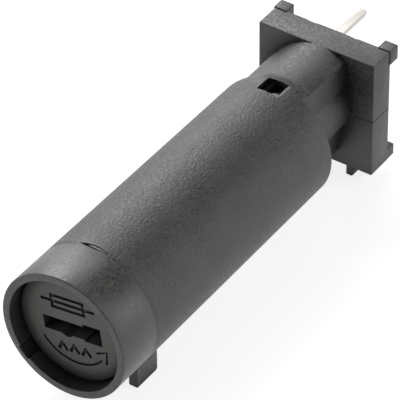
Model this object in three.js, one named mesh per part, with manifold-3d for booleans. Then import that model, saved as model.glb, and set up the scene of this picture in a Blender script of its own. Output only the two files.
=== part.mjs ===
// Cartridge fuse holder for a 6.3 x 32 mm glass fuse, with a bayonet cap that is pushed and turned.
// Millimetres, +Z up. The barrel's axis runs along Y: the cap looks along -Y, the pins leave along +Y.
// Every size below is measured from the front rim (Y = 0) and from the barrel's axis (X = 0, Z = 0).
// The last lines shift the whole group, so that its origin is the middle of its box's underside.
import * as THREE from 'three';
import { mergeVertices } from 'three/addons/utils/BufferGeometryUtils.js';
import Module from 'manifold-3d';

const wasm = await Module();
wasm.setup();

// Driving sizes
const FUSE_LENGTH = 31.8;
const FUSE_RADIUS = 3.175;
const CAP_RECESS = 1.5;
const CLEARANCE = 0.2;
const ROUND_SIDES = 64;
const SMALL_SIDES = 32;
const SHORTEST_EDGE = 0.01;

// Barrel, a little wider at its front, as its mould needs
const BARREL_FRONT_RADIUS = 6.78;
const BARREL_RADIUS = 6.59;
const BARREL_END = 34.8;
const RIM_CHAMFER = 0.15;
const MOUTH_RADIUS = 6;
const CAVITY_RADIUS = 5.7;
const CAVITY_END = 33.8;
const SHOULDER_LENGTH = 2.3;

// Bayonet: a ledge inside the mouth with two entries, and the cap's lugs that pass them
const LEDGE_FRONT = 4.8;
const LEDGE_BACK = 5.6;
const LEDGE_RADIUS = 5;
const ENTRY_ANGLES = [42, 222];
const ENTRY_WIDTH = 32;
const GROOVE_WIDTH = 14;
const GROOVE_RADIUS = 6.25;
const LUG_WIDTH = 24;
const LUG_RADIUS = 5.4;
const LUG_LENGTH = 1.2;

// Neck, wider at its root, with a flat on its right side where the inner tube stands out
const NECK_RADIUS = 6.05;
const NECK_ROOT_RADIUS = 6.19;
const NECK_ROOT_LENGTH = 0.9;
const NECK_FLAT_X = 2.93;
const TUBE_RADIUS = 3.75;
const TUBE_FOOT_ANGLE = -42;
const NECK_LOWER_ANGLE = -73.5;
const TUBE_BORE_RADIUS = 3.4;
const TUBE_BORE_END = 43.9;

// The window in the shoulder, over the side terminal's catch
const WINDOW_LEFT = -1.1;
const WINDOW_RIGHT = 1.37;
const WINDOW_FRONT = 33.4;
const WINDOW_BACK = 35.6;

// Flange with its four feet
const FLANGE_FRONT = 42.73;
const FLANGE_BACK = 45.74;
const FLANGE_LEFT = -6.99;
const FLANGE_RIGHT = 6.25;
const FLANGE_TOP = 6.18;
const FLANGE_BOTTOM = -7.19;
const FOOT_WIDTH = 1.5;
const UPPER_FOOT_HEIGHT = 1.65;
const LOWER_FOOT_HEIGHT = 1.3;
const FOOT_LENGTH = 1.2;
const FOOT_PROUD = 0.12;

// Ribs and pegs that the holder lies on
const REST_HEIGHT = -8.26;
const RIB_INNER_X = 3.27;
const RIB_OUTER_X = 4.26;
const RIB_FRONT = 5.48;
const RIB_BACK = 8.72;
const PEG_INNER_X = 3.32;
const PEG_OUTER_X = 4.05;
const PEG_LENGTH = 1.3;

// Cap
const CAP_RADIUS = 5.85;
const CAP_HEAD_BACK = 3.3;
const SKIRT_RADIUS = 4.75;
const SKIRT_INNER_RADIUS = 4;
const SKIRT_BACK = 8.5;
const HUB_BACK = 4.3;
const SLOT_FLOOR = 3.5;
const SLOT_TURN = 7.5;
const RIVET_HOLE_RADIUS = 0.6;

// Clip
const CLIP_WALL = 0.3;
const CLIP_INNER_RADIUS = FUSE_RADIUS + 0.22;
const COLLAR_RADIUS = 4.4;
const COLLAR_FRONT = 9.3;
const COLLAR_BACK = 11;
const CLIP_BACK = 12.95;
const SLIT_FRONT = 6.5;
const SLIT_WIDTH = 0.5;

// Terminals
const PIN_WIDTH = 1.35;
const PIN_THICKNESS = 0.45;
const PIN_TIP = 51.26;
const PIN_TAPER = 0.7;
const STRIP_TOP = 5.2;
const STRIP_LEFT = -1.5;
const STRIP_RIGHT = 1.3;
const STRIP_FRONT = 12;
const FINGER_FRONT = 9.3;
const CATCH_FRONT = 33.8;
const CATCH_HEIGHT = 6.05;
const SIDE_PIN_X = -0.5;

// Places along the axis that follow from the sizes above
const LUG_FRONT = LEDGE_BACK + 0.3;
const CLIP_FRONT = HUB_BACK + CLEARANCE;
const RIVET_BACK = CLIP_FRONT + CLIP_WALL + 0.45;
const FUSE_FRONT = RIVET_BACK + 0.15;
const FUSE_BACK = FUSE_FRONT + FUSE_LENGTH;
const PLUNGER_FRONT = FUSE_BACK + CLEARANCE;
const SPRING_FRONT = PLUNGER_FRONT + 0.8;
const CENTRE_DISC_FRONT = TUBE_BORE_END - 0.7;
const SPRING_BACK = CENTRE_DISC_FRONT - CLEARANCE;

// Materials
const BLACK_PLASTIC = { color: 0x3a3b3a, roughness: 0.62, metalness: 0 };
const CAP_PLASTIC = { color: 0x40413f, roughness: 0.58, metalness: 0 };
const TINNED_BRASS = { color: 0xd8d4c8, roughness: 0.32, metalness: 1 };
const NICKEL_BRASS = { color: 0xc4bfb2, roughness: 0.28, metalness: 1 };
const SPRING_STEEL = { color: 0x9a9a98, roughness: 0.3, metalness: 1 };
const CLEAR_GLASS = { color: 0xdfe8e6, roughness: 0.05, metalness: 0 };
const SOLDER = { color: 0xb4b6b8, roughness: 0.4, metalness: 1 };
const COPPER_WIRE = { color: 0xb8b4ac, roughness: 0.35, metalness: 1 };

// A closed geometry with shared vertices becomes a solid; a profile wound the other way is turned over.
function solidOf(geometry) {
  geometry.deleteAttribute('normal');
  geometry.deleteAttribute('uv');
  const merged = mergeVertices(geometry, 1e-4);
  const position = merged.getAttribute('position');
  const corners = [0, 1, 2].map(() => new THREE.Vector3());
  const triangles = [];
  let volume = 0;
  for (let i = 0; i < merged.index.count; i += 3) {
    const ids = [0, 1, 2].map((k) => merged.index.getX(i + k));
    if (new Set(ids).size < 3) continue;
    ids.forEach((id, k) => corners[k].fromBufferAttribute(position, id));
    volume += corners[0].dot(corners[1].clone().cross(corners[2]));
    triangles.push(ids);
  }
  const wound = volume < 0 ? triangles.map(([a, b, c]) => [a, c, b]) : triangles;
  return new wasm.Manifold(new wasm.Mesh({
    numProp: 3,
    vertProperties: new Float32Array(position.array),
    triVerts: new Uint32Array(wound.flat()),
  }));
}

function geometryOf(solid) {
  const mesh = solid.simplify(SHORTEST_EDGE).getMesh();
  const geometry = new THREE.BufferGeometry();
  geometry.setAttribute('position', new THREE.BufferAttribute(new Float32Array(mesh.vertProperties), 3));
  geometry.setIndex(new THREE.BufferAttribute(new Uint32Array(mesh.triVerts), 1));
  geometry.computeVertexNormals();
  return geometry;
}

const join = (...solids) => solids.reduce((whole, solid) => whole.add(solid));

const cut = (whole, ...tools) => tools.reduce((rest, tool) => rest.subtract(tool), whole);

// A profile of [radius, y] points turned about the barrel's axis.
function turned(profile, sides = ROUND_SIDES) {
  const points = profile.map(([radius, y]) => new THREE.Vector2(radius, y));
  return solidOf(new THREE.LatheGeometry(points, sides));
}

// A ring's profile closes on itself, so its first point is repeated at its end.
const turnedRing = (profile, sides) => turned([...profile, profile[0]], sides);

function block(x0, x1, y0, y1, z0, z1) {
  const geometry = new THREE.BoxGeometry(x1 - x0, y1 - y0, z1 - z0);
  geometry.translate((x0 + x1) / 2, (y0 + y1) / 2, (z0 + z1) / 2);
  return solidOf(geometry);
}

// An outline in X and Z, carried along Y.
function extrudedAlongY(shape, y0, y1) {
  const settings = { depth: y1 - y0, bevelEnabled: false, curveSegments: 24 };
  const geometry = new THREE.ExtrudeGeometry(shape, settings);
  geometry.rotateX(Math.PI / 2);
  geometry.translate(0, y1, 0);
  return solidOf(geometry);
}

// An outline in Y and Z, carried along X.
function extrudedAlongX(points, x0, x1) {
  const shape = new THREE.Shape(points.map(([y, z]) => new THREE.Vector2(y, z)));
  const geometry = new THREE.ExtrudeGeometry(shape, { depth: x1 - x0, bevelEnabled: false });
  const axes = [new THREE.Vector3(0, 1, 0), new THREE.Vector3(0, 0, 1), new THREE.Vector3(1, 0, 0)];
  geometry.applyMatrix4(new THREE.Matrix4().makeBasis(...axes));
  geometry.translate(x0, 0, 0);
  return solidOf(geometry);
}

// An outline in X and Y, carried along Z.
function extrudedAlongZ(shape, z0, z1) {
  const settings = { depth: z1 - z0, bevelEnabled: false, curveSegments: 16 };
  const geometry = new THREE.ExtrudeGeometry(shape, settings);
  geometry.translate(0, 0, z0);
  return solidOf(geometry);
}

// A piece of a ring about the barrel's axis; angles go from +X towards +Z.
function sector(inner, outer, angle, width, y0, y1) {
  const from = THREE.MathUtils.degToRad(angle - width / 2);
  const to = THREE.MathUtils.degToRad(angle + width / 2);
  const shape = new THREE.Shape();
  shape.absarc(0, 0, outer, from, to, false);
  shape.absarc(0, 0, inner, to, from, true);
  return extrudedAlongY(shape, y0, y1);
}

const parts = new THREE.Group();

function addPart(name, solid, look) {
  const mesh = new THREE.Mesh(geometryOf(solid), new THREE.MeshStandardMaterial(look));
  mesh.name = name;
  parts.add(mesh);
}

// The neck's section: round, with a flat on the right from which the inner tube's round wall stands out.
function neckOutline() {
  const flatTop = Math.acos(NECK_FLAT_X / NECK_RADIUS);
  const tubeTop = Math.acos(NECK_FLAT_X / TUBE_RADIUS);
  const tubeBottom = THREE.MathUtils.degToRad(TUBE_FOOT_ANGLE);
  const lowerRight = THREE.MathUtils.degToRad(NECK_LOWER_ANGLE);
  const beyond = NECK_RADIUS + 1.2;
  const shape = new THREE.Shape();
  shape.absarc(0, 0, beyond, flatTop, Math.PI * 2 + lowerRight, false);
  shape.absarc(0, 0, TUBE_RADIUS, tubeBottom, tubeTop, false);
  shape.lineTo(NECK_FLAT_X, NECK_RADIUS * Math.sin(flatTop));
  return shape;
}

// The shoulder's curve, from the barrel's radius down to the neck's.
function shoulderCurve() {
  const drop = BARREL_RADIUS - NECK_RADIUS;
  const points = [];
  for (let i = 0; i <= 8; i += 1) {
    const t = i / 8;
    points.push([BARREL_RADIUS - drop * (1 - Math.cos(Math.PI * t)) / 2, BARREL_END + SHOULDER_LENGTH * t]);
  }
  return points;
}

function neck() {
  const start = BARREL_END - 0.5;
  const round = turned([[0, start], [BARREL_RADIUS, start], ...shoulderCurve(),
    [NECK_RADIUS, FLANGE_FRONT - NECK_ROOT_LENGTH], [NECK_ROOT_RADIUS, FLANGE_FRONT],
    [NECK_ROOT_RADIUS, FLANGE_FRONT + 0.5], [0, FLANGE_FRONT + 0.5]]);
  return round.intersect(extrudedAlongY(neckOutline(), start - 1, FLANGE_FRONT + 1));
}

function flange() {
  const plate = block(FLANGE_LEFT, FLANGE_RIGHT, FLANGE_FRONT, FLANGE_BACK, FLANGE_BOTTOM, FLANGE_TOP);
  const front = FLANGE_BACK - 0.1;
  const back = FLANGE_BACK + FOOT_LENGTH;
  const feet = [];
  for (const x of [FLANGE_LEFT - FOOT_PROUD, FLANGE_RIGHT + FOOT_PROUD - FOOT_WIDTH]) {
    const top = FLANGE_TOP + FOOT_PROUD;
    feet.push(block(x, x + FOOT_WIDTH, front, back, top - UPPER_FOOT_HEIGHT, top));
  }
  for (const x of [FLANGE_LEFT + 0.01, FLANGE_RIGHT - 0.01 - FOOT_WIDTH]) {
    const bottom = FLANGE_BOTTOM + 0.02;
    feet.push(block(x, x + FOOT_WIDTH, front, back, bottom, bottom + LOWER_FOOT_HEIGHT));
  }
  return join(plate, ...feet);
}

// A rib on each side under the barrel's front; its rear lower corner is cut off.
function restRibs() {
  const corner = 0.2;
  const top = -4;
  const profile = [[RIB_FRONT, top], [RIB_FRONT, REST_HEIGHT], [RIB_BACK - corner, REST_HEIGHT],
    [RIB_BACK, REST_HEIGHT + corner], [RIB_BACK, top]];
  return join(extrudedAlongX(profile, RIB_INNER_X, RIB_OUTER_X),
    extrudedAlongX(profile, -RIB_OUTER_X, -RIB_INNER_X));
}

function restPegs() {
  const back = FLANGE_FRONT + PEG_LENGTH;
  const top = FLANGE_BOTTOM + 0.5;
  return join(block(PEG_INNER_X, PEG_OUTER_X, FLANGE_FRONT, back, REST_HEIGHT, top),
    block(-PEG_OUTER_X, -PEG_INNER_X, FLANGE_FRONT, back, REST_HEIGHT, top));
}

// The mouth, the ledge, the long cavity and the narrow bore for the fuse's rear end, as one cutter.
function bore() {
  return turned([[0, -1], [MOUTH_RADIUS, -1], [MOUTH_RADIUS, LEDGE_FRONT], [LEDGE_RADIUS, LEDGE_FRONT],
    [LEDGE_RADIUS, LEDGE_BACK], [CAVITY_RADIUS, LEDGE_BACK], [CAVITY_RADIUS, CAVITY_END],
    [TUBE_BORE_RADIUS, CAVITY_END], [TUBE_BORE_RADIUS, TUBE_BORE_END], [0, TUBE_BORE_END]]);
}

function bayonetEntries() {
  return ENTRY_ANGLES.flatMap((angle) => [
    sector(LEDGE_RADIUS - 0.3, CAVITY_RADIUS - 0.1, angle, ENTRY_WIDTH, LEDGE_FRONT - 0.3, LEDGE_BACK + 0.3),
    sector(MOUTH_RADIUS - 0.3, GROOVE_RADIUS, angle, GROOVE_WIDTH, -1, LEDGE_FRONT + 0.1),
  ]);
}

// The channel for the side strip, the window over its catch, and the two slots that the pins leave by.
function terminalOpenings() {
  const slotHalf = PIN_WIDTH / 2 + CLEARANCE;
  const channelFloor = STRIP_TOP - PIN_THICKNESS - 0.25;
  const channel = block(STRIP_LEFT - 0.3, STRIP_RIGHT + CLEARANCE, CAVITY_END - 0.5, TUBE_BORE_END,
    channelFloor, STRIP_TOP + CLEARANCE);
  const catchWindow = block(WINDOW_LEFT, WINDOW_RIGHT, WINDOW_FRONT, WINDOW_BACK, channelFloor + 0.3,
    BARREL_RADIUS + 1);
  const sideSlot = block(SIDE_PIN_X - slotHalf, SIDE_PIN_X + slotHalf, TUBE_BORE_END - 0.5, FLANGE_BACK + 1,
    STRIP_TOP - PIN_THICKNESS - CLEARANCE, STRIP_TOP + CLEARANCE);
  const centreSlot = block(-slotHalf, slotHalf, TUBE_BORE_END - 0.5, FLANGE_BACK + 1,
    -PIN_THICKNESS / 2 - CLEARANCE, PIN_THICKNESS / 2 + CLEARANCE);
  return [channel, catchWindow, sideSlot, centreSlot];
}

// A shallow lens-shaped recess on top of the barrel, over the ledge.
function topRecess() {
  const halfLength = 1.6;
  const halfWidth = 0.3;
  const middleX = -0.15;
  const middleY = 5.45;
  const radius = (halfLength ** 2 + halfWidth ** 2) / (2 * halfWidth);
  const half = Math.asin(halfLength / radius);
  const shape = new THREE.Shape();
  shape.absarc(middleX, middleY + halfWidth - radius, radius, Math.PI / 2 - half, Math.PI / 2 + half, false);
  const down = -Math.PI / 2;
  shape.absarc(middleX, middleY - halfWidth + radius, radius, down - half, down + half, false);
  return extrudedAlongZ(shape, BARREL_FRONT_RADIUS - 0.45, BARREL_FRONT_RADIUS + 1);
}

function housing() {
  const barrel = turned([[0, 0], [BARREL_FRONT_RADIUS - RIM_CHAMFER, 0], [BARREL_FRONT_RADIUS, RIM_CHAMFER],
    [BARREL_RADIUS, BARREL_END], [0, BARREL_END]]);
  const body = join(barrel, neck(), flange(), restRibs(), restPegs());
  return cut(body, bore(), ...bayonetEntries(), ...terminalOpenings(), topRecess());
}

// The screwdriver slot: wider over its right third, with a round nick in its lower edge.
function screwdriverSlot() {
  const shape = new THREE.Shape([[-3.3, -0.98], [1.24, -0.98], [1.24, -1.17], [3.2, -1.17], [3.2, 0.78],
    [1.24, 0.78], [1.24, 0.52], [-3.3, 0.52]].map(([x, z]) => new THREE.Vector2(x, z)));
  const nick = new THREE.Shape();
  nick.absarc(-0.7, -0.5, 0.76, 0, Math.PI * 2, false);
  const tool = join(extrudedAlongY(shape, CAP_RECESS - 1, SLOT_FLOOR),
    extrudedAlongY(nick, CAP_RECESS - 1, SLOT_FLOOR - 0.3));
  return tool.rotate([0, -SLOT_TURN, 0]);
}

function cap() {
  const body = turned([[0, CAP_RECESS], [CAP_RADIUS - 0.2, CAP_RECESS], [CAP_RADIUS, CAP_RECESS + 0.2],
    [CAP_RADIUS, CAP_HEAD_BACK], [SKIRT_RADIUS, CAP_HEAD_BACK], [SKIRT_RADIUS, SKIRT_BACK],
    [SKIRT_INNER_RADIUS, SKIRT_BACK], [SKIRT_INNER_RADIUS, HUB_BACK], [0, HUB_BACK]]);
  const lugs = ENTRY_ANGLES.map((angle) =>
    sector(SKIRT_RADIUS - 0.3, LUG_RADIUS, angle, LUG_WIDTH, LUG_FRONT, LUG_FRONT + LUG_LENGTH));
  const rivetHole = turned([[0, 3], [RIVET_HOLE_RADIUS, 3], [RIVET_HOLE_RADIUS, 5], [0, 5]], SMALL_SIDES);
  return cut(join(body, ...lugs), screwdriverSlot(), rivetHole);
}

// The rivet that holds the clip on the cap and lets the cap turn on it.
function clipRivet() {
  const shank = RIVET_HOLE_RADIUS - 0.15;
  const frontHead = SLOT_FLOOR - 0.15;
  const backHead = CLIP_FRONT + CLIP_WALL + 0.15;
  return turned([[0, 2.5], [0.3, 2.55], [0.5, 2.8], [0.5, frontHead], [shank, frontHead], [shank, backHead],
    [1.1, backHead], [1.1, RIVET_BACK], [0, RIVET_BACK]], 24);
}

// The sprung sleeve that grips the fuse: a closed end, four fingers and a contact collar round them.
function fuseClip() {
  const inner = CLIP_INNER_RADIUS;
  const outer = inner + CLIP_WALL;
  const collarInner = COLLAR_RADIUS - CLIP_WALL;
  const sleeve = turnedRing([[RIVET_HOLE_RADIUS, CLIP_FRONT], [outer, CLIP_FRONT],
    [outer, COLLAR_FRONT - 0.5], [COLLAR_RADIUS, COLLAR_FRONT], [COLLAR_RADIUS, COLLAR_BACK],
    [outer, COLLAR_BACK + 0.5], [outer, CLIP_BACK - 0.75],
    [outer + 0.35, CLIP_BACK - 0.15], [outer + 0.1, CLIP_BACK],
    [inner, CLIP_BACK - 0.65], [inner, COLLAR_BACK + 0.4], [collarInner, COLLAR_BACK - 0.15],
    [collarInner, COLLAR_FRONT + 0.15], [inner, COLLAR_FRONT - 0.4], [inner, CLIP_FRONT + CLIP_WALL],
    [RIVET_HOLE_RADIUS, CLIP_FRONT + CLIP_WALL]], 48);
  const slit = SLIT_WIDTH / 2;
  const beyond = COLLAR_RADIUS + 1;
  return cut(sleeve, block(-slit, slit, SLIT_FRONT, CLIP_BACK + 1, -beyond, beyond),
    block(-beyond, beyond, SLIT_FRONT, CLIP_BACK + 1, -slit, slit));
}

// One end cap of the fuse, with its closed end at the given place.
// The direction is 1 for the front cap and -1 for the rear one.
function fuseEndCap(end, direction) {
  const length = 6.35;
  const wall = 0.18;
  const at = (distance) => end + direction * distance;
  return turned([[0, at(0)], [FUSE_RADIUS - 0.2, at(0)], [FUSE_RADIUS, at(0.2)], [FUSE_RADIUS, at(length)],
    [FUSE_RADIUS - wall, at(length)], [FUSE_RADIUS - wall, at(0.35)], [0, at(0.35)]], 40);
}

function fuseSolder(end, direction) {
  const at = (distance) => end + direction * distance;
  return turned([[0, at(0.5)], [1.1, at(0.5)], [1, at(0.8)], [0.6, at(1.1)], [0, at(1.2)]], 20);
}

function fuseGlass() {
  const outer = FUSE_RADIUS - 0.33;
  const inner = outer - 0.6;
  const ends = [FUSE_FRONT + 0.55, FUSE_BACK - 0.55];
  return turnedRing([[inner, ends[0]], [outer, ends[0]], [outer, ends[1]], [inner, ends[1]]], 40);
}

function fuseWire() {
  const radius = 0.12;
  const ends = [FUSE_FRONT + 1.3, FUSE_BACK - 1.3];
  return turned([[0, ends[0]], [radius, ends[0]], [radius, ends[1]], [0, ends[1]]], 10);
}

function plunger() {
  const head = PLUNGER_FRONT + 0.6;
  const tip = PLUNGER_FRONT + 3;
  return turned([[0, PLUNGER_FRONT], [2.5, PLUNGER_FRONT], [2.7, PLUNGER_FRONT + 0.2], [2.7, head],
    [1, head], [1, tip - 0.2], [0.8, tip], [0, tip]], SMALL_SIDES);
}

class SpringCurve extends THREE.Curve {
  constructor(radius, turns, start, end) {
    super();
    Object.assign(this, { radius, turns, start, end });
  }

  getPoint(t, target = new THREE.Vector3()) {
    const angle = t * this.turns * Math.PI * 2;
    const y = THREE.MathUtils.lerp(this.start, this.end, t);
    return target.set(this.radius * Math.cos(angle), y, this.radius * Math.sin(angle));
  }
}

function plungerSpring() {
  const wire = 0.22;
  const turns = 5;
  const section = new THREE.Shape();
  section.absarc(0, 0, wire, 0, Math.PI * 2, false);
  const path = new SpringCurve(2.2, turns, SPRING_FRONT + wire, SPRING_BACK - wire);
  return solidOf(new THREE.ExtrudeGeometry(section,
    { steps: turns * 14, extrudePath: path, bevelEnabled: false, curveSegments: 4 }));
}

// A flat pin's outline in X and Y, from its root to a tapered tip.
function pinOutline(middle, root) {
  const half = PIN_WIDTH / 2;
  const tipHalf = half * 0.55;
  return [[middle - half, root], [middle + half, root], [middle + half, PIN_TIP - PIN_TAPER],
    [middle + tipHalf, PIN_TIP], [middle - tipHalf, PIN_TIP], [middle - half, PIN_TIP - PIN_TAPER]]
    .map(([x, y]) => new THREE.Vector2(x, y));
}

function centreTerminal() {
  const back = CENTRE_DISC_FRONT + 0.5;
  const front = CENTRE_DISC_FRONT;
  const half = PIN_THICKNESS / 2;
  const disc = turned([[0, front], [3.1, front], [3.1, back], [0, back]], SMALL_SIDES);
  const pin = extrudedAlongZ(new THREE.Shape(pinOutline(0, back - 0.2)), -half, half);
  return join(disc, pin);
}

// The side strip: a bent contact finger in front, a raised catch under the window, and a pin at the back.
function sideTerminal() {
  const under = STRIP_TOP - PIN_THICKNESS;
  const stripBack = TUBE_BORE_END - 0.3;
  const strip = block(STRIP_LEFT, STRIP_RIGHT, STRIP_FRONT, stripBack, under, STRIP_TOP);
  const pin = extrudedAlongZ(new THREE.Shape(pinOutline(SIDE_PIN_X, stripBack - 0.5)), under, STRIP_TOP);
  const root = STRIP_FRONT + 0.3;
  const contact = FINGER_FRONT + 1;
  const finger = extrudedAlongX([[root, STRIP_TOP], [contact, 5], [FINGER_FRONT, 5.3], [FINGER_FRONT, 4.95],
    [contact, COLLAR_RADIUS + CLEARANCE], [root, under]], STRIP_LEFT + 0.3, STRIP_RIGHT - 0.3);
  const tongueRoot = CATCH_FRONT + 3;
  const lancedHole = block(WINDOW_LEFT, 1, CATCH_FRONT + 0.1, tongueRoot, under - 1, STRIP_TOP + 1);
  const catchTongue = extrudedAlongX([[tongueRoot + 0.2, under], [tongueRoot + 0.2, STRIP_TOP],
    [tongueRoot - 1.5, STRIP_TOP], [CATCH_FRONT, CATCH_HEIGHT], [CATCH_FRONT - 0.2, CATCH_HEIGHT - 0.25],
    [tongueRoot - 1.8, under]], 0.05, 0.9);
  return join(cut(strip, lancedHole), pin, finger, catchTongue);
}

addPart('housing', housing(), BLACK_PLASTIC);
addPart('bayonet_cap', cap(), CAP_PLASTIC);
addPart('clip_rivet', clipRivet(), NICKEL_BRASS);
addPart('fuse_clip', fuseClip(), TINNED_BRASS);
addPart('fuse_glass_tube', fuseGlass(), CLEAR_GLASS);
addPart('fuse_end_cap_front', fuseEndCap(FUSE_FRONT, 1), NICKEL_BRASS);
addPart('fuse_end_cap_rear', fuseEndCap(FUSE_BACK, -1), NICKEL_BRASS);
addPart('fuse_wire', fuseWire(), COPPER_WIRE);
addPart('fuse_solder_front', fuseSolder(FUSE_FRONT, 1), SOLDER);
addPart('fuse_solder_rear', fuseSolder(FUSE_BACK, -1), SOLDER);
addPart('contact_plunger', plunger(), NICKEL_BRASS);
addPart('plunger_spring', plungerSpring(), SPRING_STEEL);
addPart('centre_terminal', centreTerminal(), TINNED_BRASS);
addPart('side_terminal', sideTerminal(), TINNED_BRASS);

// The box runs from the left feet to the barrel's right side, and from the rim to the pins' tips.
const boxMiddleX = (FLANGE_LEFT - FOOT_PROUD + BARREL_FRONT_RADIUS) / 2;
parts.position.set(-boxMiddleX, -PIN_TIP / 2, -REST_HEIGHT);

const group = new THREE.Group();
group.add(parts);

export default group;
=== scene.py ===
import math

import bmesh
import bpy
from mathutils import Matrix, Vector


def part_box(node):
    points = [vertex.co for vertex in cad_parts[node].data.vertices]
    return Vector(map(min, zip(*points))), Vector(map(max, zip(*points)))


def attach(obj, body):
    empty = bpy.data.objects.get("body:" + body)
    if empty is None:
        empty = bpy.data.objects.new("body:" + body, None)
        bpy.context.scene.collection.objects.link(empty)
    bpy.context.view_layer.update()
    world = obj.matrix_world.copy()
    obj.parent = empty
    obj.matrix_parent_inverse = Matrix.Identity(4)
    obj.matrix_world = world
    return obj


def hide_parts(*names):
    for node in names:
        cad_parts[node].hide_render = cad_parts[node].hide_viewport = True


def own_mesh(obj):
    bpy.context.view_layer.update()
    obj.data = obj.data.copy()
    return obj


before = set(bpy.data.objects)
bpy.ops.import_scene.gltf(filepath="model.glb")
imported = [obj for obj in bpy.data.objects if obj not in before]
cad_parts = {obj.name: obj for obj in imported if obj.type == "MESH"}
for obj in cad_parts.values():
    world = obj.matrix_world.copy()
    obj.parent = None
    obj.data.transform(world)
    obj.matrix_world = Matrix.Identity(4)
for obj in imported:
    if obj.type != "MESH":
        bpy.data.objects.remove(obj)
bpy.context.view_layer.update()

glassLow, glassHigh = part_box("fuse_glass_tube")
axisX = (glassLow.x + glassHigh.x) / 2
axisZ = (glassLow.z + glassHigh.z) / 2
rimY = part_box("housing")[0].y
toFrame = Matrix.Translation((axisX, rimY, axisZ)) @ Matrix.Scale(0.001, 4)
restHeight = -axisZ * 1000  # the surface that the holder lies on, from the barrel's axis


# ---- shapes

def finished(bm):
    bmesh.ops.recalc_face_normals(bm, faces=bm.faces)
    mesh = bpy.data.meshes.new("shape")
    bm.to_mesh(mesh)
    bm.free()
    shape = bpy.data.objects.new("shape", mesh)
    bpy.context.scene.collection.objects.link(shape)
    return shape


def lathe(profile, segments=128, ring=False):
    # profile holds (radius, y) points; a ring closes on itself
    bm = bmesh.new()
    columns = []
    for radius, y in profile:
        if radius < 1e-6:
            columns.append([bm.verts.new((0, y, 0))] * segments)
            continue
        turns = [2 * math.pi * i / segments for i in range(segments)]
        columns.append([bm.verts.new((radius * math.cos(a), y, radius * math.sin(a))) for a in turns])
    pairs = list(zip(columns, columns[1:]))
    if ring:
        pairs.append((columns[-1], columns[0]))
    for near, far in pairs:
        for i in range(segments):
            j = (i + 1) % segments
            corners = list(dict.fromkeys([near[i], near[j], far[j], far[i]]))
            if len(corners) > 2:
                bm.faces.new(corners)
    return finished(bm)


def prism(outline, start, end, along="y"):
    # outline is in the two other axes, in the order x, y, z
    place = {"x": lambda u, v, w: (w, u, v),
             "y": lambda u, v, w: (u, w, v),
             "z": lambda u, v, w: (u, v, w)}[along]
    bm = bmesh.new()
    near = [bm.verts.new(place(u, v, start)) for u, v in outline]
    far = [bm.verts.new(place(u, v, end)) for u, v in outline]
    bm.faces.new(near)
    bm.faces.new(far[::-1])
    for i in range(len(outline)):
        j = (i + 1) % len(outline)
        bm.faces.new([near[i], near[j], far[j], far[i]])
    return finished(bm)


def block(x0, x1, y0, y1, z0, z1, bevel=0.0):
    bm = bmesh.new()
    bmesh.ops.create_cube(bm, size=1)
    bmesh.ops.scale(bm, vec=(x1 - x0, y1 - y0, z1 - z0), verts=bm.verts)
    bmesh.ops.translate(bm, vec=((x0 + x1) / 2, (y0 + y1) / 2, (z0 + z1) / 2), verts=bm.verts)
    if bevel:
        bmesh.ops.bevel(bm, geom=bm.edges[:], offset=bevel, segments=3, profile=0.5, affect="EDGES")
    return finished(bm)


def softened(shape, bevel, segments=2, angle=35):
    # rounds the sharp edges of a drawn shape
    bm = bmesh.new()
    bm.from_mesh(shape.data)
    sharp = [e for e in bm.edges if len(e.link_faces) == 2 and e.calc_face_angle() > math.radians(angle)]
    bmesh.ops.bevel(bm, geom=sharp, offset=bevel, segments=segments, profile=0.5, affect="EDGES",
                    clamp_overlap=True)
    bm.to_mesh(shape.data)
    bm.free()
    return shape


def combined(base, tools, operation):
    for tool in tools:
        step = base.modifiers.new("step", "BOOLEAN")
        step.operation = operation
        step.solver = "EXACT"
        step.object = tool
    bpy.context.view_layer.update()
    result = bpy.data.meshes.new_from_object(base.evaluated_get(bpy.context.evaluated_depsgraph_get()))
    base.modifiers.clear()
    base.data = result
    for tool in tools:
        bpy.data.objects.remove(tool)
    return base


def arc(radius, start, end, steps=24, centre=(0, 0)):
    turns = [math.radians(start + (end - start) * i / steps) for i in range(steps + 1)]
    return [(centre[0] + radius * math.cos(a), centre[1] + radius * math.sin(a)) for a in turns]


def sector(inner, outer, angle, width, y0, y1):
    start, end = angle - width / 2, angle + width / 2
    return prism(arc(outer, start, end) + arc(inner, end, start), y0, y1)


def turned(points, degrees):
    a = math.radians(degrees)
    return [(x * math.cos(a) - z * math.sin(a), x * math.sin(a) + z * math.cos(a)) for x, z in points]


def stroke(path, width):
    # the outline of a line of that width along an open path
    left, right = [], []
    for i, point in enumerate(path):
        before = Vector(path[max(i - 1, 0)])
        after = Vector(path[min(i + 1, len(path) - 1)])
        along = (after - before).normalized()
        side = Vector((-along.y, along.x)) * width / 2
        left.append(tuple(Vector(point) + side))
        right.append(tuple(Vector(point) - side))
    return left + right[::-1]


def placed(shape, name, body, nodes, material, smoothAngle=30):
    bm = bmesh.new()
    bm.from_mesh(shape.data)
    bmesh.ops.remove_doubles(bm, verts=bm.verts, dist=0.002)
    bmesh.ops.dissolve_degenerate(bm, edges=bm.edges, dist=0.001)
    bmesh.ops.recalc_face_normals(bm, faces=bm.faces)
    bmesh.ops.transform(bm, matrix=toFrame, verts=bm.verts)
    bm.to_mesh(shape.data)
    bm.free()
    shape.name = name
    shape.data.name = name
    shape.data.materials.clear()
    shape.data.materials.append(material)
    shape.data.shade_smooth()
    shape.data.set_sharp_from_angle(angle=math.radians(smoothAngle))
    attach(shape, body)
    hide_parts(*nodes)
    return shape


# ---- finishes

def linear(hexColour):
    channels = [int(hexColour[i:i + 2], 16) / 255 for i in (1, 3, 5)]
    return (*[c / 12.92 if c <= 0.04045 else ((c + 0.055) / 1.055) ** 2.4 for c in channels], 1)


def perMetre(millimetres):
    # a pattern's scale from the size of one of its grains
    return 1000 / millimetres


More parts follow.
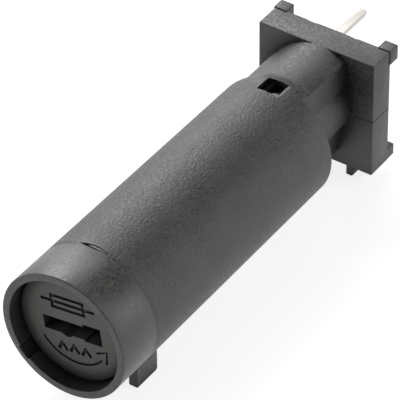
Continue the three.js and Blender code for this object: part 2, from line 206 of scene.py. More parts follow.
def addNode(tree, kind, settings=None, links=None):
    node = tree.nodes.new(kind)
    for name, value in (settings or {}).items():
        if name in node.inputs:
            node.inputs[name].default_value = value
        else:
            setattr(node, name, value)
    for name, source in (links or {}).items():
        tree.links.new(source, node.inputs[name])
    return node


def emptyMaterial(name):
    material = bpy.data.materials.new(name)
    material.use_nodes = True
    material.node_tree.nodes.clear()
    return material


def multiplied(tree, first, second):
    node = addNode(tree, "ShaderNodeMath", {"operation": "MULTIPLY"})
    for socket, value in zip(node.inputs, (first, second)):
        if isinstance(value, float):
            socket.default_value = value
        else:
            tree.links.new(value, socket)
    return node.outputs["Value"]


def ramp(tree, value, start, end, low, high):
    settings = {"From Min": start, "From Max": end, "To Min": low, "To Max": high}
    return addNode(tree, "ShaderNodeMapRange", settings, {"Value": value}).outputs["Result"]


def paintedRecessShade(tree, where, along, recess):
    # paints shade into the colour of what lies within a radius of the barrel's axis and between two depths
    # behind the rim;
    # a factor above 1 paints light there instead
    offset = addNode(tree, "ShaderNodeVectorMath", {"operation": "SUBTRACT"}, {"Vector": where})
    offset.inputs[1].default_value = (axisX, 0, axisZ)
    across = addNode(tree, "ShaderNodeVectorMath", {"operation": "MULTIPLY"},
                     {"Vector": offset.outputs["Vector"]})
    across.inputs[1].default_value = (1, 0, 1)
    distance = addNode(tree, "ShaderNodeVectorMath", {"operation": "LENGTH"},
                       {"Vector": across.outputs["Vector"]})
    radius, start, end, shade = recess
    near = ramp(tree, distance.outputs["Value"], (radius - 0.03) / 1000, radius / 1000, 1.0, 0.0)
    begun = ramp(tree, along, rimY + start / 1000, rimY + (start + 0.12) / 1000, 0.0, 1.0)
    over = ramp(tree, along, rimY + (end - 0.1) / 1000, rimY + end / 1000, 1.0, 0.0)
    gate = multiplied(tree, multiplied(tree, near, begun), over)
    return ramp(tree, gate, 0.0, 1.0, 1.0, shade)


def plastic(name, look):
    # two colours drift over the surface, fine grain lifts it, and edges are rounded a little;
    # the grain is strong only on the barrel between the hairline and the shoulder,
    # the front is polished more, deep corners get painted shade from an occlusion test,
    # and a painted shade factor scales the colour inside a given recess
    material = emptyMaterial(name)
    tree = material.node_tree
    where = addNode(tree, "ShaderNodeTexCoord").outputs["Object"]
    drift = addNode(tree, "ShaderNodeTexNoise", {"Scale": perMetre(look["driftSize"]), "Detail": 3.0},
                    {"Vector": where})
    grain = addNode(tree, "ShaderNodeTexNoise", {"Scale": perMetre(look["grainSize"]), "Detail": 2.0,
                                                 "Roughness": 0.6}, {"Vector": where})
    speckle = ramp(tree, grain.outputs["Fac"], 0.3, 0.7, -look["speckle"], look["speckle"])
    blend = addNode(tree, "ShaderNodeMath", {"operation": "ADD", "use_clamp": True})
    tree.links.new(drift.outputs["Fac"], blend.inputs[0])
    tree.links.new(speckle, blend.inputs[1])
    colour = addNode(tree, "ShaderNodeMix", {"data_type": "RGBA"}, {"Factor": blend.outputs["Value"]})
    colour.inputs[6].default_value = linear(look["dark"])
    colour.inputs[7].default_value = linear(look["light"])
    along = addNode(tree, "ShaderNodeSeparateXYZ", None, {"Vector": where}).outputs["Y"]
    hairline, shoulder = rimY + look["grainFrom"] / 1000, rimY + look["grainTo"] / 1000
    behind = ramp(tree, along, hairline - 0.001, hairline + 0.001, look["calm"], 1.0)
    before = ramp(tree, along, shoulder - 0.001, shoulder + 0.001, 1.0, look["calm"])
    strength = multiplied(tree, multiplied(tree, behind, before), look["relief"])
    grainSheen = ramp(tree, grain.outputs["Fac"], 0.3, 0.7, look["smoothest"], look["roughest"])
    sheen = multiplied(tree, grainSheen, ramp(tree, behind, look["calm"], 1.0, look["polish"], 1.0))
    edges = addNode(tree, "ShaderNodeBevel", {"samples": 6, "Radius": look["edge"] / 1000})
    relief = addNode(tree, "ShaderNodeBump", {"Distance": look["depth"] / 1000},
                     {"Height": grain.outputs["Fac"], "Normal": edges.outputs["Normal"],
                      "Strength": strength})
    # painted shade: corners that an occlusion test finds enclosed are darkened, in the base colour and the
    # specular level alike
    corners = addNode(tree, "ShaderNodeAmbientOcclusion",
                      {"samples": 8, "Distance": look["cornerReach"] / 1000})
    paintedCornerShade = ramp(tree, corners.outputs["AO"], 0.48, 0.95, look["cornerShade"], 1.0)
    shade = multiplied(tree, paintedCornerShade, paintedRecessShade(tree, where, along, look["recess"]))
    base = addNode(tree, "ShaderNodeVectorMath", {"operation": "SCALE"},
                   {"Vector": colour.outputs[2], "Scale": shade})
    shader = addNode(tree, "ShaderNodeBsdfPrincipled", {"IOR": look["ior"]},
                     {"Base Color": base.outputs["Vector"], "Roughness": sheen,
                      "Specular IOR Level": multiplied(tree, shade, 0.5), "Normal": relief.outputs["Normal"]})
    addNode(tree, "ShaderNodeOutputMaterial", None, {"Surface": shader.outputs["BSDF"]})
    return material


def metal(name, look):
    # a plated or drawn metal: clouds of slightly different polish, and faint lines along its length
    material = emptyMaterial(name)
    tree = material.node_tree
    where = addNode(tree, "ShaderNodeTexCoord").outputs["Object"]
    cloud = addNode(tree, "ShaderNodeTexNoise", {"Scale": perMetre(look["cloudSize"]), "Detail": 4.0},
                    {"Vector": where})
    stretched = addNode(tree, "ShaderNodeMapping", {"Scale": look["lineStretch"]}, {"Vector": where})
    lines = addNode(tree, "ShaderNodeTexNoise", {"Scale": perMetre(look["lineSize"]), "Detail": 2.0},
                    {"Vector": stretched.outputs["Vector"]})
    colour = addNode(tree, "ShaderNodeMix", {"data_type": "RGBA"}, {"Factor": cloud.outputs["Fac"]})
    colour.inputs[6].default_value = linear(look["dark"])
    colour.inputs[7].default_value = linear(look["light"])
    polish = addNode(tree, "ShaderNodeMapRange", {"From Min": 0.3, "From Max": 0.7,
                                                  "To Min": look["smoothest"], "To Max": look["roughest"]},
                     {"Value": cloud.outputs["Fac"]})
    edges = addNode(tree, "ShaderNodeBevel", {"samples": 4, "Radius": look["edge"] / 1000})
    relief = addNode(tree, "ShaderNodeBump", {"Strength": look["relief"], "Distance": look["depth"] / 1000},
                     {"Height": lines.outputs["Fac"], "Normal": edges.outputs["Normal"]})
    shader = addNode(tree, "ShaderNodeBsdfPrincipled", {"Metallic": 1.0},
                     {"Base Color": colour.outputs[2], "Roughness": polish.outputs["Result"],
                      "Normal": relief.outputs["Normal"]})
    addNode(tree, "ShaderNodeOutputMaterial", None, {"Surface": shader.outputs["BSDF"]})
    return material


# Glass-filled PBT moulded in a spark-eroded tool: matte grey-black with a soft broad sheen.
# The tool's grain is about 0.03 mm and is drawn at 0.25 mm, so that it shows.
# Deep corners get painted shade; the mouth's painted shade factor is 1, so it paints nothing.
moulded = plastic("moulded_pbt", {
    "dark": "#252a27", "light": "#454743", "driftSize": 3.0, "grainSize": 0.25, "speckle": 0.6,
    "smoothest": 0.36, "roughest": 0.66, "relief": 1.0, "depth": 0.09, "edge": 0.06, "ior": 1.52,
    "grainFrom": 5.2, "grainTo": 34.0, "calm": 0.18, "polish": 0.8,
    "cornerReach": 2.6, "cornerShade": 0.3, "recess": (6.05, 0.05, 5.5, 1.0)})

# The same PBT from a tool polished by stoning: a little smoother, so the marks in the cap read crisply.
# Its deep corners get painted shade, and everything within 4.4 mm of the axis and 1.85 to 9 mm behind the
# rim, the slot and the bore behind it, is painted a tenth lighter.
stoned = plastic("stoned_pbt", {
    "dark": "#343432", "light": "#444442", "driftSize": 2.0, "grainSize": 0.24, "speckle": 0.3,
    "smoothest": 0.48, "roughest": 0.58, "relief": 0.5, "depth": 0.03, "edge": 0.1, "ior": 1.52,
    "grainFrom": 0.0, "grainTo": 20.0, "calm": 0.99, "polish": 1.0,
    "cornerReach": 1.6, "cornerShade": 0.3, "recess": (4.4, 1.85, 9.0, 1.1)})

# Brass strip, hot-dip tinned: pale, warm and satin, with faint rolling lines along the strip.
tinned = metal("tinned_brass", {
    "dark": "#b8b5b0", "light": "#cecbc7", "cloudSize": 1.5, "lineSize": 0.12, "lineStretch": (1, 0.08, 1),
    "smoothest": 0.42, "roughest": 0.54, "relief": 0.3, "depth": 0.006, "edge": 0.05})

# Pressed brass with bright nickel plate: slightly yellow-grey and shiny.
nickelled = metal("nickelled_brass", {
    "dark": "#bdb7a9", "light": "#d0cabd", "cloudSize": 2.0, "lineSize": 0.1, "lineStretch": (1, 0.3, 1),
    "smoothest": 0.14, "roughest": 0.26, "relief": 0.2, "depth": 0.004, "edge": 0.05})

# Drawn stainless spring wire: grey, with fine die marks along the wire.
springWire = metal("drawn_spring_wire", {
    "dark": "#8f8f8e", "light": "#a9a9a7", "cloudSize": 1.0, "lineSize": 0.08, "lineStretch": (0.3, 1, 0.3),
    "smoothest": 0.22, "roughest": 0.34, "relief": 0.3, "depth": 0.004, "edge": 0.03})

# Silver-plated fuse wire: bright and thin.
fuseStrand = metal("silvered_wire", {
    "dark": "#b6b3ac", "light": "#cfccc4", "cloudSize": 1.0, "lineSize": 0.05, "lineStretch": (1, 0.1, 1),
    "smoothest": 0.2, "roughest": 0.3, "relief": 0.2, "depth": 0.002, "edge": 0.02})

# Solder that froze in air: dull grey with a frosty cloud.
solder = metal("frosted_solder", {
    "dark": "#a3a5a8", "light": "#bfc1c3", "cloudSize": 0.5, "lineSize": 0.2, "lineStretch": (1, 1, 1),
    "smoothest": 0.36, "roughest": 0.5, "relief": 0.5, "depth": 0.02, "edge": 0.05})


def drawnGlass():
    # soda-lime tube: clear and smooth, with slight draw lines along its length
    material = emptyMaterial("soda_lime_tube")
    tree = material.node_tree
    where = addNode(tree, "ShaderNodeTexCoord").outputs["Object"]
    stretched = addNode(tree, "ShaderNodeMapping", {"Scale": (1, 0.03, 1)}, {"Vector": where})
    lines = addNode(tree, "ShaderNodeTexNoise", {"Scale": perMetre(0.6)},
                    {"Vector": stretched.outputs["Vector"]})
    relief = addNode(tree, "ShaderNodeBump", {"Strength": 0.08, "Distance": 0.00002},
                     {"Height": lines.outputs["Fac"]})
    shader = addNode(tree, "ShaderNodeBsdfPrincipled",
                     {"Base Color": linear("#f4faf8"), "Roughness": 0.02, "IOR": 1.52,
                      "Transmission Weight": 1.0},
                     {"Normal": relief.outputs["Normal"]})
    addNode(tree, "ShaderNodeOutputMaterial", None, {"Surface": shader.outputs["BSDF"]})
    return material


glass = drawnGlass()
print("finishes ready")


# ---- housing

housing = {
    "frontRadius": 6.78, "radius": 6.59, "barrelEnd": 34.8, "rimRound": 0.09,
    "mouthRadius": 6.0, "mouthRound": 0.06,
    "ledgeFront": 4.8, "ledgeBack": 5.6, "ledgeRadius": 5.0, "cavityRadius": 5.7, "cavityEnd": 33.8,
    "hairlineAt": 5.2, "hairlineHalf": 0.03, "hairlineDepth": 0.012,
    "neckRadius": 6.05, "neckFlare": 6.19, "shoulderLength": 2.3, "flatX": 2.93,
    "tubeRadius": 3.75, "tubeFootAngle": -42, "boreRadius": 3.4, "boreEnd": 43.9,
    "flangeFront": 42.73, "flangeBack": 45.74, "flangeLeft": -6.99, "flangeRight": 6.25,
    "flangeTop": 6.18, "flangeBottom": -7.19, "flangeBevel": 0.1,
    "footWidth": 1.5, "upperFootHeight": 1.65, "lowerFootHeight": 1.3, "footLength": 1.2,
    "footProud": 0.12, "footBevel": 0.12, "ribX": (3.27, 4.26), "ribY": (5.48, 8.72),
    "pegX": (3.32, 4.05), "pegLength": 1.3, "window": (-1.1, 1.1, 33.4, 35.6), "windowSlope": 0.32,
    "sidePinX": -0.5, "pinSlotHalf": 0.875, "entries": (42, 222), "slitIsland": (0.25, 5.45, 1.15, 0.13),
    # extra rings that keep the barrel's shading even
    "rings": (5.9, 6.6, 12, 20, 28, 32.6, 33.2),
}


def housingLathe(h):
    shoulder = []
    for i in range(13):
        t = i / 12
        drop = (h["radius"] - h["neckRadius"]) * (1 - math.cos(math.pi * t)) / 2
        shoulder.append((h["radius"] - drop, h["barrelEnd"] + h["shoulderLength"] * t))
    r, m = h["rimRound"], h["mouthRound"]
    rim = arc(m, 180, 270, 4, (h["mouthRadius"] + m, m)) + arc(r, 270, 360, 6, (h["frontRadius"] - r, r))
    line, half, deep = h["hairlineAt"], h["hairlineHalf"], h["hairlineDepth"]

    def radiusAt(y):
        return h["frontRadius"] + (h["radius"] - h["frontRadius"]) * y / h["barrelEnd"]
    profile = [(0, h["boreEnd"]), (h["boreRadius"], h["boreEnd"]), (h["boreRadius"], h["cavityEnd"]),
               (h["cavityRadius"], h["cavityEnd"]), (h["cavityRadius"], h["ledgeBack"]),
               (h["ledgeRadius"], h["ledgeBack"]), (h["ledgeRadius"], h["ledgeFront"]),
               (h["mouthRadius"], h["ledgeFront"]), *rim,
               (radiusAt(1.2), 1.2), (radiusAt(line - half), line - half), (radiusAt(line) - deep, line),
               (radiusAt(line + half), line + half), *[(radiusAt(y), y) for y in h["rings"]],
               *shoulder, (h["neckRadius"], 38), (h["neckRadius"], h["flangeFront"] - 1.1),
               (h["neckRadius"] + 0.03, h["flangeFront"] - 0.6), (h["neckFlare"], h["flangeFront"]),
               (h["neckFlare"], h["flangeBack"] - 0.7), (0, h["flangeBack"] - 0.7)]
    return lathe(profile, 192)


def neckStep(h):
    # what is missing from the neck's right side: a flat, with the inner tube's wall standing out of it
    top = math.degrees(math.acos(h["flatX"] / h["tubeRadius"]))
    outline = [(h["flatX"], 9), (9, 9), (9, -9), (1.724, -9)]
    outline += arc(h["tubeRadius"], h["tubeFootAngle"], top, 32)
    return prism(outline, h["barrelEnd"], h["flangeBack"] - 1)


def housingTools(h):
    slotHalf = h["pinSlotHalf"]
    tools = []
    for angle in h["entries"]:
        tools.append(sector(h["ledgeRadius"] - 0.3, h["cavityRadius"] - 0.1, angle, 32,
                            h["ledgeFront"] - 0.3, h["ledgeBack"] + 0.3))
        tools.append(sector(h["mouthRadius"] - 0.3, 6.25, angle, 14, -1, h["ledgeFront"] + 0.1))
    x0, x1, y0, y1 = h["window"]
    slope = h["windowSlope"]
    tools.append(block(-1.8, 1.5, h["cavityEnd"] - 0.5, h["boreEnd"], 4.5, 5.4))
    tools.append(block(x0, x1, y0, y1, 4.8, 8))
    tools.append(block(x0 - 0.6, x1 + 0.2, y0 - 0.4, y1 + 0.6, 4.8, 5.9))
    lip = [(x1 - 0.05, 6.27), (x1 + slope, 6.36), (x1 + slope, 8), (x1 - 0.05, 8)]
    tools.append(prism(lip, y0 - 0.05, y1))
    for middle, low, high in ((h["sidePinX"], 4.55, 5.4), (0, -0.425, 0.425)):
        tools.append(block(middle - slotHalf, middle + slotHalf, h["boreEnd"] - 0.5, h["flangeBack"] + 1,
                           low, high))
    return tools


def lensOutline(middleX, middleY, reach, half):
    radius = (reach ** 2 + half ** 2) / (2 * half)
    spread = math.degrees(math.asin(reach / radius))
    return (arc(radius, 90 - spread, 90 + spread, 16, (middleX, middleY + half - radius))
            + arc(radius, 270 - spread, 270 + spread, 16, (middleX, middleY - half + radius)))


def topSlit(island):
    # a thin lens-shaped line over the ledge that widens into a gash at its left end
    gash = prism(lensOutline(-0.15, 5.45, 1.65, 0.24), 6.3, 8, "z")
    return combined(gash, [prism(lensOutline(*island), 5, 9, "z")], "DIFFERENCE")


def seamsAndNicks(h):
    # the mould's parting line across the flange, and bruises on its rear top edge
    z, deep, half = -0.62, 0.05, 0.04
    right, front, back, top = h["flangeRight"], h["flangeFront"], h["flangeBack"], h["flangeTop"]
    return [block(right - deep, right + 1, front - 1, back - 0.05, z - half, z + half),
            block(4.2, right + 1, front - 1, front + deep, z - half, z + half),
            prism([(-3.4, back - 0.06), (-2.9, back - 0.14), (-2.3, back - 0.17), (-2, back - 0.05),
                   (-2, back + 1), (-3.4, back + 1)], top - 0.16, top + 1, "z"),
            prism([(1.2, back - 0.05), (2, back - 0.12), (2.4, back - 0.17), (2.55, back - 0.04),
                   (2.55, back + 1), (1.2, back + 1)], top - 0.14, top + 1, "z")]


def buildHousing(h):
    body = combined(housingLathe(h), [neckStep(h)], "DIFFERENCE")
    left, right, top, bottom = h["flangeLeft"], h["flangeRight"], h["flangeTop"], h["flangeBottom"]
    back, proud, bevel = h["flangeBack"], h["footProud"], h["footBevel"]
    extra = [block(left, right, h["flangeFront"], back, bottom, top, h["flangeBevel"])]
    wide, tall, low = h["footWidth"], h["upperFootHeight"], h["lowerFootHeight"]
    for x in (left - proud, right + proud - wide):
        extra.append(block(x, x + wide, back - 0.1 - bevel, back + h["footLength"],
                           top + proud - tall, top + proud, bevel))
    for x in (left + 0.01, right - 0.01 - wide):
        extra.append(block(x, x + wide, back - 0.1 - bevel, back + h["footLength"], bottom + 0.02,
                           bottom + 0.02 + low, bevel))
    ribFront, ribBack = h["ribY"]
    profile = [(ribFront, -4), (ribFront, restHeight), (ribBack - 0.2, restHeight),
               (ribBack, restHeight + 0.2), (ribBack, -4)]
    for side in (1, -1):
        ribInner, ribOuter = sorted(side * x for x in h["ribX"])
        extra.append(softened(prism(profile, ribInner, ribOuter, "x"), 0.07))
        pegInner, pegOuter = sorted(side * x for x in h["pegX"])
        extra.append(block(pegInner, pegOuter, h["flangeFront"] + 0.02, h["flangeFront"] + h["pegLength"],
                           restHeight, bottom + 0.5, 0.08))
    body = combined(body, extra, "UNION")
    body = combined(body, housingTools(h) + [topSlit(h["slitIsland"])] + seamsAndNicks(h), "DIFFERENCE")
    return placed(body, "housing_shell", "holder", ["housing"], moulded, 28)


buildHousing(housing)
print("housing ready")


# ---- cap

cap = {
    "front": 1.5, "radius": 5.85, "edgeRound": 0.16, "headBack": 3.3, "skirtRadius": 4.75, "skirtInner": 4.0,
    "skirtBack": 8.5, "hubBack": 4.3, "slotFloor": 3.5, "turn": 7.5, "lugRadius": 5.4, "lugWidth": 24,
    "lugFront": 5.9, "lugBack": 7.1, "markDepth": 0.2, "markWidth": 0.32, "arcWidth": 0.24,
}


def capMarks(c):
    # a fuse sign above the slot, three press marks under it, and an arrow that shows the turn to the right
    wide = c["markWidth"]
    x0, x1, z0, z1 = -1.95, 1.6, 1.86, 3.16
    lines = [stroke([(x0, z0), (x1, z0)], wide), stroke([(x0, z1), (x1, z1)], wide),
             stroke([(x0, z0 - wide / 2), (x0, z1 + wide / 2)], wide),
             stroke([(x1, z0 - wide / 2), (x1, z1 + wide / 2)], wide),
             stroke([(-3.2, 2.51), (2.83, 2.51)], wide)]
    for x in (-1.5, -0.17, 1.16):
        lines.append(stroke([(x - 0.5, -2.95), (x + 0.07, -1.98)], wide * 0.95))
        lines.append(stroke([(x - 0.07, -1.98), (x + 0.5, -2.95)], wide * 0.95))
    lines.append(stroke(arc(4.03, 208, 316, 40), c["arcWidth"]))
    lines.append(stroke([(2.37, -2.15), (3.6, -1.69), (3.38, -3.12)], c["arcWidth"]))
    return [prism(turned(line, c["turn"]), c["front"] - 1, c["front"] + c["markDepth"]) for line in lines]


def buildCap(c):
    r = c["edgeRound"]
    body = lathe([(0, c["front"]), *arc(r, 270, 360, 5, (c["radius"] - r, c["front"] + r)),
                  (c["radius"], c["headBack"]), (c["skirtRadius"], c["headBack"]),
                  (c["skirtRadius"], c["skirtBack"]), (c["skirtInner"], c["skirtBack"]),
                  (c["skirtInner"], c["hubBack"]), (0, c["hubBack"])], 160)
    lugs = [sector(c["skirtRadius"] - 0.3, c["lugRadius"], a, c["lugWidth"], c["lugFront"], c["lugBack"])
            for a in housing["entries"]]
    body = combined(body, lugs, "UNION")
    slotOutline = [(-3.3, -0.98), (1.24, -0.98), (1.24, -1.17), (3.2, -1.17), (3.2, 0.78), (1.24, 0.78),
                   (1.24, 0.52), (-3.3, 0.52)]
    tools = [prism(turned(slotOutline, c["turn"]), c["front"] - 1, c["slotFloor"]),
             prism(turned(arc(0.76, 0, 350, 35, (-0.7, -0.5)), c["turn"]), c["front"] - 1,
                   c["slotFloor"] - 0.3),
             prism(arc(0.6, 0, 350, 35), 3, 5), *capMarks(c)]
    for tool in tools:
        body = combined(body, [tool], "DIFFERENCE")
    return placed(body, "cap_moulding", "cap", ["bayonet_cap"], stoned, 28)


buildCap(cap)
print("cap ready")


# ---- clip and its rivet

clip = {
    "front": 4.5, "wall": 0.3, "inner": 3.395, "collar": 4.4, "collarFront": 9.3, "collarBack": 11.0,
    "back": 12.95, "slitHalf": 0.25, "slitFront": 6.5, "holeRadius": 0.6,
}


def buildClip(c):
    inner, outer, wall, back = c["inner"], c["inner"] + c["wall"], c["wall"], c["back"]
    front, collar, hole = c["front"], c["collar"], c["holeRadius"]
    body = lathe([(hole, front), (outer - 0.15, front), (outer, front + 0.15),
                  (outer, c["collarFront"] - 0.5), (collar - 0.1, c["collarFront"] - 0.1),
                  (collar, c["collarFront"] + 0.15),
                  (collar, c["collarBack"] - 0.15), (collar - 0.1, c["collarBack"] + 0.1),
                  (outer, c["collarBack"] + 0.5), (outer, back - 0.75), (outer + 0.35, back - 0.15),
                  (outer + 0.1, back), (inner, back - 0.65), (inner, c["collarBack"] + 0.4),
                  (collar - wall, c["collarBack"] - 0.15), (collar - wall, c["collarFront"] + 0.15),
                  (inner, c["collarFront"] - 0.4), (inner, front + wall + 0.1), (inner - 0.1, front + wall),
                  (hole, front + wall)], 96, ring=True)
    half = c["slitHalf"]
    slits = [block(-half, half, c["slitFront"], back + 1, -6, 6),
             block(-6, 6, c["slitFront"], back + 1, -half, half)]
    body = combined(body, slits, "DIFFERENCE")
    return placed(body, "spring_clip", "clip", ["fuse_clip"], tinned)


def buildRivet():
    body = lathe([(0, 2.5), (0.2, 2.52), (0.38, 2.6), (0.48, 2.75), (0.5, 2.9), (0.5, 3.35), (0.45, 3.35),
                  (0.45, 4.95), (1.1, 4.95), (1.1, 5.15), (1.0, 5.25), (0, 5.25)], 48)
    return placed(body, "hollow_rivet", "clip", ["clip_rivet"], nickelled)


buildClip(clip)
buildRivet()
print("clip ready")


# ---- fuse

fuse = {"front": 5.4, "back": 37.2, "radius": 3.175, "capLength": 6.35, "capWall": 0.18, "glassOuter": 2.845,
        "glassWall": 0.6, "glassInset": 0.55, "glassMelt": 0.08, "wireRadius": 0.12, "wireInset": 1.3}


def buildEndCap(f, name, node, end, direction):
    def at(distance):
        return end + direction * distance
    r, length, wall = f["radius"], f["capLength"], f["capWall"]
    body = lathe([(0, at(0)), (r - 0.25, at(0)), (r - 0.08, at(0.07)), (r, at(0.25)), (r, at(length - 0.9)),
                  (r - 0.06, at(length - 0.8)), (r - 0.06, at(length - 0.65)), (r, at(length - 0.55)),
                  (r, at(length)), (r - wall, at(length)), (r - wall, at(0.35)), (0, at(0.35))], 96)
    return placed(body, name, "fuse", [node], nickelled)


def buildSolder(name, node, end, direction):
    def at(distance):
        return end + direction * distance
    body = lathe([(0, at(0.5)), (1.1, at(0.5)), (1.08, at(0.65)), (0.95, at(0.85)), (0.6, at(1.08)),
                  (0.3, at(1.17)), (0, at(1.2))], 40)
    return placed(body, name, "fuse", [node], solder)


def buildGlass(f):
    front, back = f["front"] + f["glassInset"], f["back"] - f["glassInset"]
    outer, inner, melt = f["glassOuter"], f["glassOuter"] - f["glassWall"], f["glassMelt"]
    body = lathe([(inner, front + melt), (inner + melt, front), (outer - melt, front), (outer, front + melt),
                  (outer, back - melt), (outer - melt, back), (inner + melt, back), (inner, back - melt)],
                 96, ring=True)
    return placed(body, "glass_tube", "fuse", ["fuse_glass_tube"], glass)


def buildWire(f):
    r, front, back = f["wireRadius"], f["front"] + f["wireInset"], f["back"] - f["wireInset"]
    body = lathe([(0, front), (r * 0.7, front), (r, front + 0.05), (r, back - 0.05), (r * 0.7, back),
                  (0, back)], 24)
    return placed(body, "fuse_strand", "fuse", ["fuse_wire"], fuseStrand)


buildEndCap(fuse, "end_cap_front", "fuse_end_cap_front", fuse["front"], 1)
buildEndCap(fuse, "end_cap_rear", "fuse_end_cap_rear", fuse["back"], -1)
buildSolder("solder_front", "fuse_solder_front", fuse["front"], 1)
buildSolder("solder_rear", "fuse_solder_rear", fuse["back"], -1)
buildGlass(fuse)
buildWire(fuse)
print("fuse ready")


# ---- plunger, spring and terminals

spring = {"front": 38.2, "back": 43.0, "radius": 2.2, "wire": 0.22, "turns": 5, "deadTurns": 0.75}
terminal = {"pinWidth": 1.35, "thickness": 0.45, "tip": 51.26, "taper": 0.55, "stripTop": 5.2,
            "stripLeft": -1.5, "stripRight": 1.3, "stripFront": 12.0, "stripBack": 43.6,
            "sidePinX": housing["sidePinX"], "discFront": 43.2}


def buildPlunger():
    body = lathe([(0, 37.4), (0.9, 37.4), (1.1, 37.45), (2.45, 37.45), (2.62, 37.5), (2.7, 37.65),
                  (2.7, 37.95), (2.65, 38.0), (1.0, 38.0), (1.0, 40.15), (0.93, 40.33), (0.75, 40.4),
                  (0, 40.4)], 72)
    return placed(body, "plunger_body", "plunger", ["contact_plunger"], nickelled)


def springHeight(s, t):
    # closed end turns lie a wire's width apart, the others share what is left
    turn, dead, wire = t * s["turns"], s["deadTurns"], s["wire"]
    low, high = s["front"] + wire, s["back"] - wire
    deadRise = 2 * wire * 1.02 * dead
    if turn < dead:
        return low + deadRise * turn / dead
    if turn > s["turns"] - dead:
        return high - deadRise * (s["turns"] - turn) / dead
    share = (turn - dead) / (s["turns"] - 2 * dead)
    return low + deadRise + (high - low - 2 * deadRise) * share


def buildSpring(s):
    steps, around = s["turns"] * 40, 12
    bm = bmesh.new()
    rings = []
    for i in range(steps + 1):
        t = i / steps
        angle = 2 * math.pi * s["turns"] * t
        out = Vector((math.cos(angle), 0, math.sin(angle)))
        centre = out * s["radius"] + Vector((0, springHeight(s, t), 0))
        ring = []
        for k in range(around):
            a = 2 * math.pi * k / around
            offset = out * math.cos(a) + Vector((0, 1, 0)) * math.sin(a)
            ring.append(bm.verts.new(centre + offset * s["wire"]))
        rings.append(ring)
    for near, far in zip(rings, rings[1:]):
        for k in range(around):
            n = (k + 1) % around
            bm.faces.new([near[k], near[n], far[n], far[k]])
    bm.faces.new(rings[0])
    bm.faces.new(rings[-1][::-1])
    coil = placed(finished(bm), "coil_spring", "holder", ["plunger_spring"], springWire, 60)
    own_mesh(coil)
    return coil


def pin(middle, root, z0, z1, t):
    half = t["pinWidth"] / 2
    outline = [(middle - half, root), (middle + half, root), (middle + half, t["tip"] - t["taper"]),
               (middle + half * 0.88, t["tip"] - 0.1), (middle + half * 0.7, t["tip"]),
               (middle - half * 0.7, t["tip"]), (middle - half * 0.88, t["tip"] - 0.1),
               (middle - half, t["tip"] - t["taper"])]
    return softened(prism(outline, z0, z1, "z"), 0.06, 2, 60)


def buildCentreTerminal(t):
    front, half = t["discFront"], t["thickness"] / 2
    disc = lathe([(0, front), (3.0, front), (3.1, front + 0.1), (3.1, front + 0.4), (3.0, front + 0.5),
                  (0, front + 0.5)], 72)
    body = combined(disc, [pin(0, front + 0.2, -half, half, t)], "UNION")
    return placed(body, "centre_pin", "holder", ["centre_terminal"], tinned)


def buildSideTerminal(t):
    top, under = t["stripTop"], t["stripTop"] - t["thickness"]
    left, right = t["stripLeft"], t["stripRight"]
    strip = block(left, right, t["stripFront"], t["stripBack"], under, top, 0.04)
    bend = [(12.3, top), (11.3, 5.08), (10.3, 4.98), (9.7, 5.12), (9.3, 5.3), (9.3, 4.95), (9.7, 4.78),
            (10.3, 4.62), (11.3, 4.68), (12.3, under)]
    finger = softened(prism(bend, left + 0.3, right - 0.3, "x"), 0.04)
    catch = [(37, under), (37, top), (35.3, top), (34.5, 5.68), (33.8, 6.05), (33.6, 5.8), (34.3, 5.42),
             (35, under)]
    tongue = softened(prism(catch, 0.05, 0.9, "x"), 0.05)
    body = combined(strip, [block(-1.1, 1.0, 33.9, 36.8, under - 1, top + 1)], "DIFFERENCE")
    side = pin(t["sidePinX"], t["stripBack"] - 0.5, under + 0.001, top - 0.001, t)
    body = combined(body, [side, finger, tongue], "UNION")
    return placed(body, "side_strip", "holder", ["side_terminal"], tinned)


buildPlunger()
buildSpring(spring)
buildCentreTerminal(terminal)
buildSideTerminal(terminal)
print("terminals ready")


# ---- studio and camera

studio = {
    "floorSize": 6.0, "floorColour": "#a2a2a0", "floorGlow": 0.8,
    "worldColour": "#ffffff", "worldStrength": 0.0,
    # name: direction towards the light, distance, width, height, brightness
    "lights": {
        "key": ((-0.6634, 0.383, 0.6428), 0.7, 0.36, 0.36, 8.2),
        "behindLeft": ((-0.383, 0.6634, 0.6428), 0.7, 0.36, 0.36, 3.5),
        "right": ((0.6634, 0.383, 0.6428), 0.7, 0.36, 0.36, 2.3),
        "front": ((0.383, -0.6634, 0.6428), 0.7, 0.36, 0.36, 1.4),
        "frontRight": ((0.6634, -0.383, 0.6428), 0.7, 0.36, 0.36, 0.5),
        "overhead": ((0, 0.3746, 0.9272), 0.7, 0.36, 0.36, 0.9),
        "lowBehindRight": ((0.6917, 0.6917, 0.2079), 0.7, 0.3, 0.3, 3.3),
        "lowBehindLeft": ((-0.6917, 0.6917, 0.2079), 0.7, 0.3, 0.3, 2.9),
        "lowFrontLeft": ((-0.6917, -0.6917, 0.2079), 0.7, 0.3, 0.3, 3.0),
        "lowRight": ((0.9037, 0.3743, 0.2079), 0.7, 0.3, 0.3, 0.6),
        "lowLeft": ((-0.9037, -0.3743, 0.2079), 0.7, 0.3, 0.3, 1.8),
    },
}
lens = {"azimuth": 34.4333, "elevation": 39.2887, "roll": -0.4711, "distance": 358.29,
        "target": (-0.39, 22.75, 0.4875), "focal": 342.15, "sensor": 36.0,
        "shiftX": -0.0009, "shiftY": -0.00315}


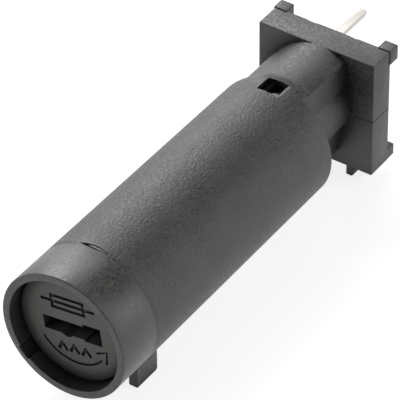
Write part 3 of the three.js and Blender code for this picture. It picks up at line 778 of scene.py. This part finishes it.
def buildFloor(s):
    bm = bmesh.new()
    bmesh.ops.create_grid(bm, x_segments=1, y_segments=1, size=s["floorSize"] / 2)
    floor = finished(bm)
    floor.name = "studio_floor"
    floor.location = (0, 0, -0.00002)
    paper = emptyMaterial("white_paper")
    tree = paper.node_tree
    shader = addNode(tree, "ShaderNodeBsdfPrincipled",
                     {"Base Color": linear(s["floorColour"]), "Roughness": 0.9,
                      "Emission Color": (1, 1, 1, 1), "Emission Strength": s["floorGlow"]})
    addNode(tree, "ShaderNodeOutputMaterial", None, {"Surface": shader.outputs["BSDF"]})
    floor.data.materials.append(paper)


def buildLights(s):
    centre = toFrame @ Vector((0, 22, 0))
    for name, (direction, distance, width, height, brightness) in s["lights"].items():
        data = bpy.data.lights.new(name, "AREA")
        data.shape = "RECTANGLE"
        data.size, data.size_y = width, height
        data.energy = math.pi * width * height * brightness
        light = bpy.data.objects.new(name, data)
        towards = Vector(direction).normalized()
        light.location = centre + towards * distance
        light.rotation_euler = towards.to_track_quat("Z", "Y").to_euler()
        bpy.context.scene.collection.objects.link(light)
    world = bpy.data.worlds.new("studio_air")
    world.use_nodes = True
    world.node_tree.nodes["Background"].inputs["Color"].default_value = linear(s["worldColour"])
    world.node_tree.nodes["Background"].inputs["Strength"].default_value = s["worldStrength"]
    bpy.context.scene.world = world


def buildCamera(c):
    az, el, roll = (math.radians(c[k]) for k in ("azimuth", "elevation", "roll"))
    back = Vector((math.sin(az) * math.cos(el), -math.cos(az) * math.cos(el), math.sin(el)))
    right = Vector((math.cos(az), math.sin(az), 0))
    up = back.cross(right)
    side = right * math.cos(roll) + up * math.sin(roll)
    upward = up * math.cos(roll) - right * math.sin(roll)
    data = bpy.data.cameras.new("camera")
    data.sensor_width = c["sensor"]
    data.lens = c["focal"]
    data.shift_x, data.shift_y = c["shiftX"], c["shiftY"]
    data.clip_start, data.clip_end = 0.01, 20
    camera = bpy.data.objects.new("camera", data)
    turn = Matrix((side, upward, back)).transposed()
    camera.rotation_euler = turn.to_euler()
    camera.location = toFrame @ Vector(c["target"]) + back * c["distance"] / 1000
    bpy.context.scene.collection.objects.link(camera)
    bpy.context.scene.camera = camera


buildFloor(studio)
buildLights(studio)
buildCamera(lens)
bpy.context.scene.view_settings.view_transform = "Standard"
print("studio ready")
